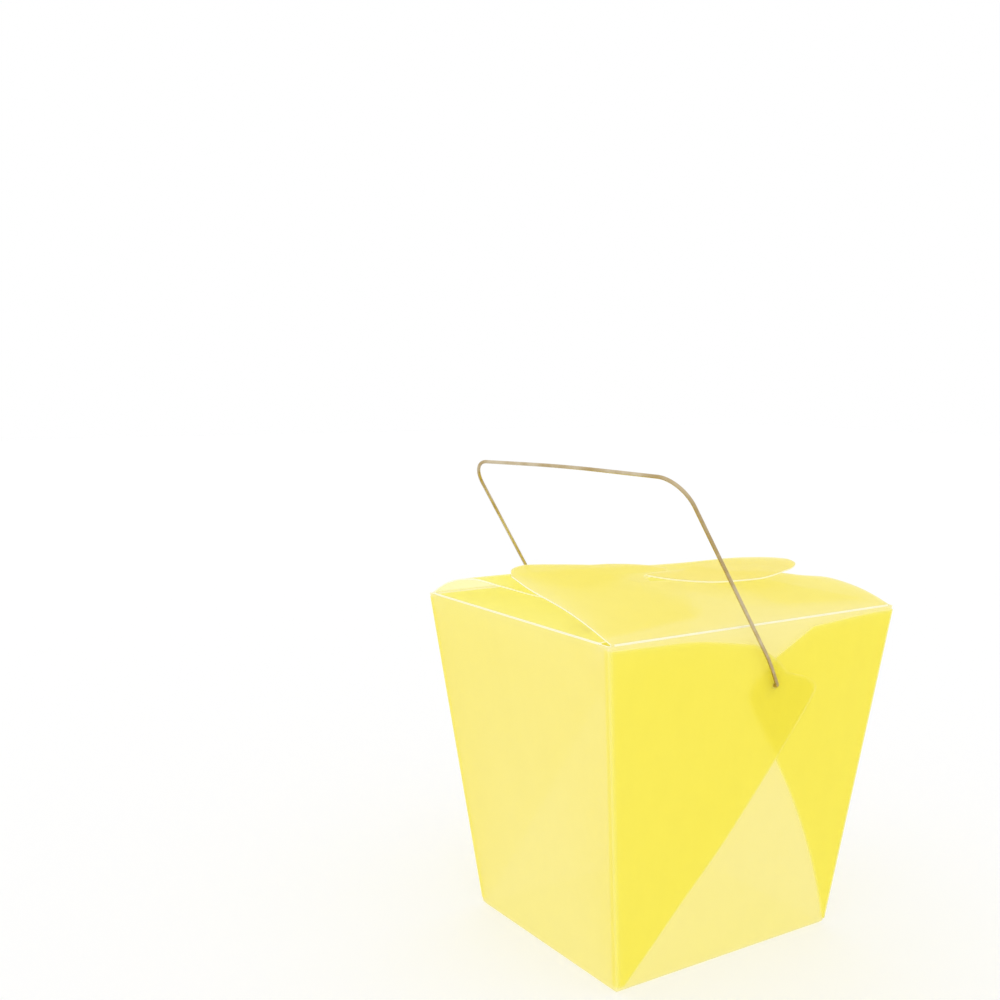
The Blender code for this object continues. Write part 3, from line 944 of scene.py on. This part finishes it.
# %% Bend the wire
WIRE_RADIUS = 0.00055
LEG_OUT = 0.0462
TAIL_OUT = 0.0406
NEAR_KNEE = Vector((-0.0050, -0.0478, 0.0080))
FAR_KNEE = Vector((-0.0125, 0.0482, 0.0080))
NEAR_SHOULDER = Vector((-0.0399, -0.0486, 0.0607))
FAR_SHOULDER = Vector((-0.0447, 0.0472, 0.0598))
BAR_RISE = 0.0008
TAIL_LENGTH = 0.0145
TAIL_LEAN = math.radians(22.5)
PIN_RADIUS = 0.0011
KNEE_RADIUS = 0.042
NEAR_SHOULDER_RADIUS = 0.0091
FAR_SHOULDER_RADIUS = 0.0089
BAR_RADIUS = 1.0
BEND_STEPS = [12, 12, 12, 30, 20, 30, 12, 12, 12]


def round_corners(corners, radii, steps):
    """The line through the corners, with an arc of the given radius at each inner one."""
    path = [corners[0]]
    for before, here, after, radius, count in zip(corners, corners[1:], corners[2:], radii, steps):
        toward = (before - here).normalized()
        onward = (after - here).normalized()
        half = toward.angle(onward) / 2
        middle = here + (toward + onward).normalized() * (radius / math.sin(half))
        start = here + toward * (radius / math.tan(half))
        side_way = (middle - start).normalized()
        for part in range(count + 1):
            angle = (math.pi - 2 * half) * part / count
            path.append(middle - side_way * (radius * math.cos(angle))
                        - toward * (radius * math.sin(angle)))
    path.append(corners[-1])
    return path


def pin(side_sign, out):
    return Vector((0.0, side_sign * out, 0.0))


def tail(side_sign):
    lean = Vector((-math.sin(TAIL_LEAN), 0.0, math.cos(TAIL_LEAN)))
    return pin(side_sign, TAIL_OUT) + lean * TAIL_LENGTH


bar_middle = (NEAR_SHOULDER + FAR_SHOULDER) / 2 + Vector((0.0, 0.0, BAR_RISE))
corners = [tail(-1), pin(-1, TAIL_OUT), pin(-1, LEG_OUT), NEAR_KNEE, NEAR_SHOULDER, bar_middle,
           FAR_SHOULDER, FAR_KNEE, pin(1, LEG_OUT), pin(1, TAIL_OUT), tail(1)]
radii = [PIN_RADIUS, PIN_RADIUS, KNEE_RADIUS, NEAR_SHOULDER_RADIUS, BAR_RADIUS,
         FAR_SHOULDER_RADIUS, KNEE_RADIUS, PIN_RADIUS, PIN_RADIUS]
bent = [HINGE + point for point in round_corners(corners, radii, BEND_STEPS)]
wire_length = sum((b - a).length for a, b in zip(bent, bent[1:]))
print("wire length: %.0f mm" % (1000 * wire_length))

# %% Divide the wire evenly


def evenly(path, spacing):
    """The same line with points no further apart than the spacing."""
    points = [path[0]]
    for a, b in zip(path, path[1:]):
        count = max(1, math.ceil((b - a).length / spacing))
        points += [a.lerp(b, i / count) for i in range(1, count + 1)]
    return points


SNIP = 0.00018
SNIPPED_END = 0.72
WIRE_SPACING = 0.0015
WIRE_SIDES = 20
wire_line = evenly(bent, WIRE_SPACING)
for end, inward in ((0, 1), (-1, -2)):
    way = (wire_line[inward] - wire_line[end]).normalized()
    wire_line.insert(1 if end == 0 else -1, wire_line[end] + way * SNIP)
wire_tapers = [SNIPPED_END] + [1.0] * (len(wire_line) - 2) + [SNIPPED_END]
print("points along the wire:", len(wire_line))

# %% [markdown]
# ## Bright steel wire
# Wire is drawn through a die, which leaves fine lines along it, and this one has a thin
# tan film from storage. The lines are noise stretched far along the wire and tight
# around it, on the two numbers that the sweep stored. The film is a slow change of
# colour along the wire.

# %% Make the steel
LINE_ROUND = 3.0
LINE_ALONG = 90.0
LINE_SCALE = 3.0
LINE_DEPTH = 0.00003
FILM_SCALE = 90.0
UNDER_FILM = (0.46, 0.34, 0.16, 1.0)
BARE_STEEL = (0.62, 0.53, 0.37, 1.0)


def drawn_steel(name):
    """Steel with fine lines along the wire, and a film that changes slowly over it."""
    finish = Finish(name)
    along = finish.node("Attribute", {"attribute_name": "along"}, {}, output=2)
    around = finish.node("Attribute", {"attribute_name": "around"}, {}, output=2)
    turn = around * (2 * math.pi)
    ring_x = finish.node("Math", {"operation": "COSINE"}, {0: turn})
    ring_y = finish.node("Math", {"operation": "SINE"}, {0: turn})
    place = finish.node("CombineXYZ", {}, {
        "X": ring_x * LINE_ROUND, "Y": ring_y * LINE_ROUND, "Z": along * LINE_ALONG})
    lines = finish.noise(place, LINE_SCALE, 3.0, 0.6)
    film = finish.noise(finish.node("TexCoord", {}, {}, output=3), FILM_SCALE, 3.0, 0.6)
    clean = finish.ranged(film, 0.38, 0.62, 0.0, 1.0)
    colour = finish.mixed(clean, UNDER_FILM, BARE_STEEL)
    bump = finish.node("Bump", {}, {"Strength": 0.4, "Distance": LINE_DEPTH, "Height": lines})
    steel = finish.node("BsdfPrincipled", {}, {
        "Base Color": colour, "Metallic": 1.0, "Normal": bump,
        "Roughness": finish.ranged(lines + film, 0.7, 1.3, 0.22, 0.40)})
    return finish.finished(steel)


steel_finish = drawn_steel("bright_drawn_steel")
wire = sweep("bent_wire_handle", [wire_line], [wire_tapers], WIRE_RADIUS, WIRE_SIDES,
             steel_finish)

# %% [markdown]
# ## The studio
# The picture has a white ground and light from all round, with a little more from the
# upper left. A white world that is slightly brighter on that side gives the even light
# that frosted plastic needs to glow. The plain pale floor glows a little itself, so it
# stays as white as the ground in the picture and the shadow on it stays faint. A lamp
# isn't needed, and without one the render is quicker. The Standard view keeps clean
# yellows clean, and light may pass through a dozen sheets before it is dropped.

# %% Lay the floor
FLOOR_REACH = 3.0
FLOOR_DROP = 0.0002
FLOOR_GREY = (0.50, 0.50, 0.50, 1.0)
FLOOR_GLOW = 0.46

bm = bmesh.new()
bmesh.ops.create_grid(bm, x_segments=1, y_segments=1, size=FLOOR_REACH)
floor_mesh = bpy.data.meshes.new("pale_floor")
bm.to_mesh(floor_mesh)
bm.free()
floor = link_new("pale_floor", floor_mesh)
floor.location.z = -FLOOR_DROP
plain = Finish("pale_floor")
floor_mesh.materials.append(plain.finished(plain.node("BsdfPrincipled", {}, {
    "Base Color": FLOOR_GREY, "Roughness": 0.8, "Specular IOR Level": 0.1,
    "Emission Color": WHITE, "Emission Strength": FLOOR_GLOW})))
print("floor: %.1f m across" % (2 * FLOOR_REACH))

# %% Light the world
BRIGHT_SIDE = Vector((-0.75, -0.30, 0.60)).normalized()
DIM_LIGHT = 1.0
BRIGHT_LIGHT = 1.12

world = bpy.data.worlds.new("white_studio")
world.use_nodes = True
sky = Recipe(world.node_tree)
facing = sky.node("VectorMath", {"operation": "DOT_PRODUCT"},
                  {0: sky.node("TexCoord"), 1: BRIGHT_SIDE}, output=1)
light = sky.ranged(facing, -0.2, 1.0, DIM_LIGHT, BRIGHT_LIGHT)
sky.node("OutputWorld", {}, {
    "Surface": sky.node("Background", {}, {"Color": WHITE, "Strength": light})})
world.cycles.sampling_method = "NONE"
bpy.context.scene.world = world
bpy.context.scene.view_settings.view_transform = "Standard"
bpy.context.scene.view_settings.look = "None"
cycles = bpy.context.scene.cycles
cycles.max_bounces = 16
cycles.diffuse_bounces = 14
cycles.transparent_max_bounces = 24
print("world nodes:", len(world.node_tree.nodes))

# %% [markdown]
# ## Join the model
# Each piece rides on the body that carries it, and stands for the plain solid that it dresses.

# %% Ride, replace and finish
for part in [tub] + webs + [fold_beads]:
    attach(part, "carton")
    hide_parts("carton")
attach(wire, "handle")
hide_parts("wire_handle")
